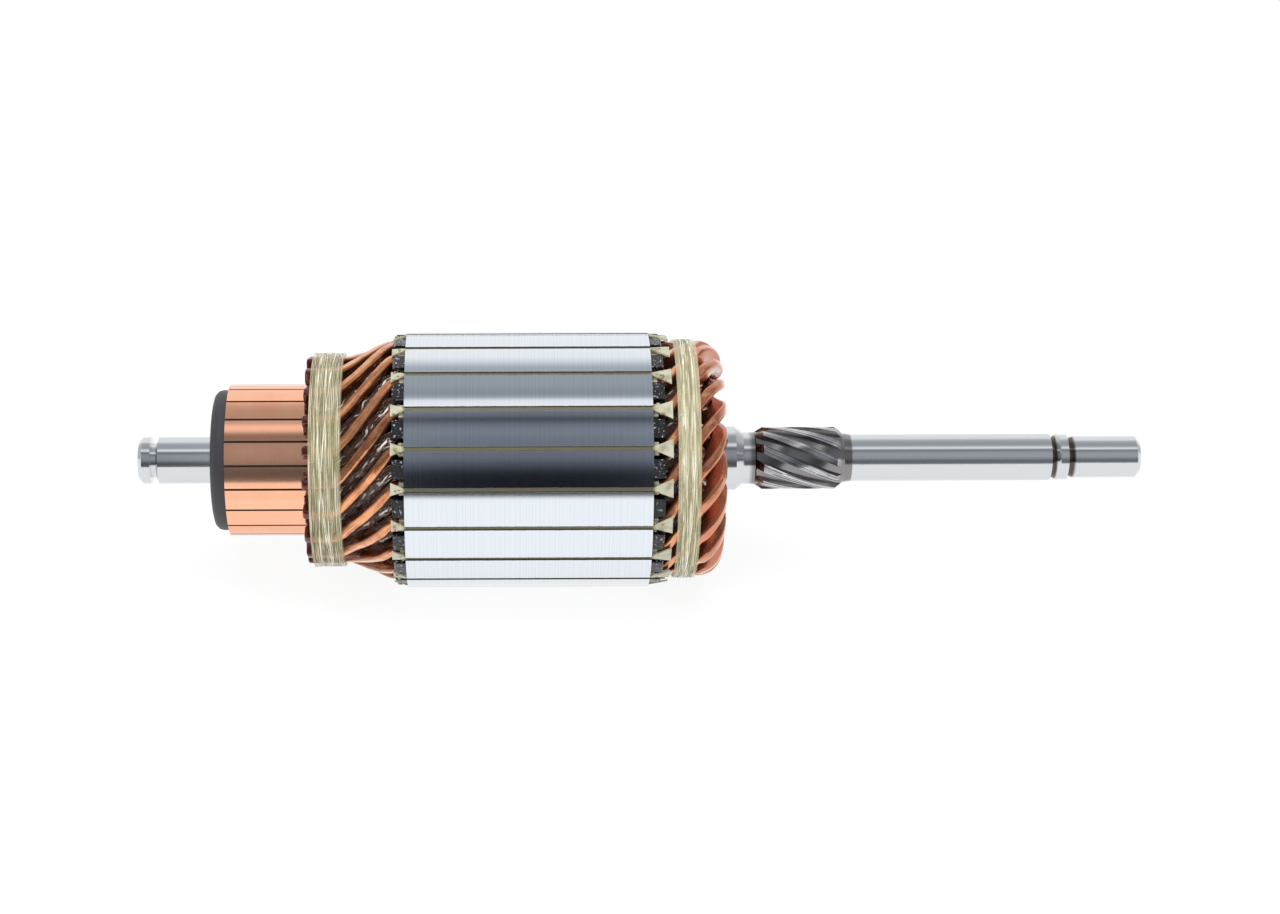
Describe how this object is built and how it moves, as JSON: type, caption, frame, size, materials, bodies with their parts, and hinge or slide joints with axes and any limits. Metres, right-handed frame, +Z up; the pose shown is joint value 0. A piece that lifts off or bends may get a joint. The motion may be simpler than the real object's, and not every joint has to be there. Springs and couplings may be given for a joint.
{
  "type": "motor armature",
  "caption": "Wound starter-motor armature with copper commutator, hairpin winding, laminated core and helical-splined shaft.",
  "frame": {"origin": "on the shaft axis, midway between the two ends of the shaft", "axes": "+X along the shaft from the commutator to the drive end, +Z up through the middle of a core slot, the pictured side faces -Y"},
  "size_m": [0.235, 0.06, 0.06],
  "materials": {
    "shaft_steel": "ground, lightly oiled",
    "core_steel": "turned laminations, thin varnish",
    "winding_copper": "enamelled copper wire",
    "bar_copper": "bright turned copper",
    "liner_paper": "cream insulating paper",
    "black_moulding": "black moulding",
    "band_resin": "resin-soaked glass yarn"
  },
  "bodies": {
    "root": {"commutator_bar_01": "bar_copper", "commutator_bar_02": "bar_copper", "commutator_bar_03": "bar_copper", "commutator_bar_04": "bar_copper", "commutator_bar_05": "bar_copper", "commutator_bar_06": "bar_copper", "commutator_bar_07": "bar_copper", "commutator_bar_08": "bar_copper", "commutator_bar_09": "bar_copper", "commutator_bar_10": "bar_copper", "commutator_bar_11": "bar_copper", "commutator_bar_12": "bar_copper", "commutator_bar_13": "bar_copper", "commutator_bar_14": "bar_copper", "commutator_bar_15": "bar_copper", "commutator_bar_16": "bar_copper", "commutator_bar_17": "bar_copper", "commutator_bar_18": "bar_copper", "commutator_bar_19": "bar_copper", "commutator_bar_20": "bar_copper", "commutator_body": "black_moulding", "commutator_end_band": "band_resin", "commutator_end_insulator": "black_moulding", "drive_end_band": "band_resin", "drive_end_insulator": "black_moulding", "hairpin_01": "winding_copper", "hairpin_02": "winding_copper", "hairpin_03": "winding_copper", "hairpin_04": "winding_copper", "hairpin_05": "winding_copper", "hairpin_06": "winding_copper", "hairpin_07": "winding_copper", "hairpin_08": "winding_copper", "hairpin_09": "winding_copper", "hairpin_10": "winding_copper", "hairpin_11": "winding_copper", "hairpin_12": "winding_copper", "hairpin_13": "winding_copper", "hairpin_14": "winding_copper", "hairpin_15": "winding_copper", "hairpin_16": "winding_copper", "hairpin_17": "winding_copper", "hairpin_18": "winding_copper", "hairpin_19": "winding_copper", "hairpin_20": "winding_copper", "lamination_stack": "core_steel", "shaft": "shaft_steel", "slot_liners": "liner_paper"}
  },
  "joints": []
}
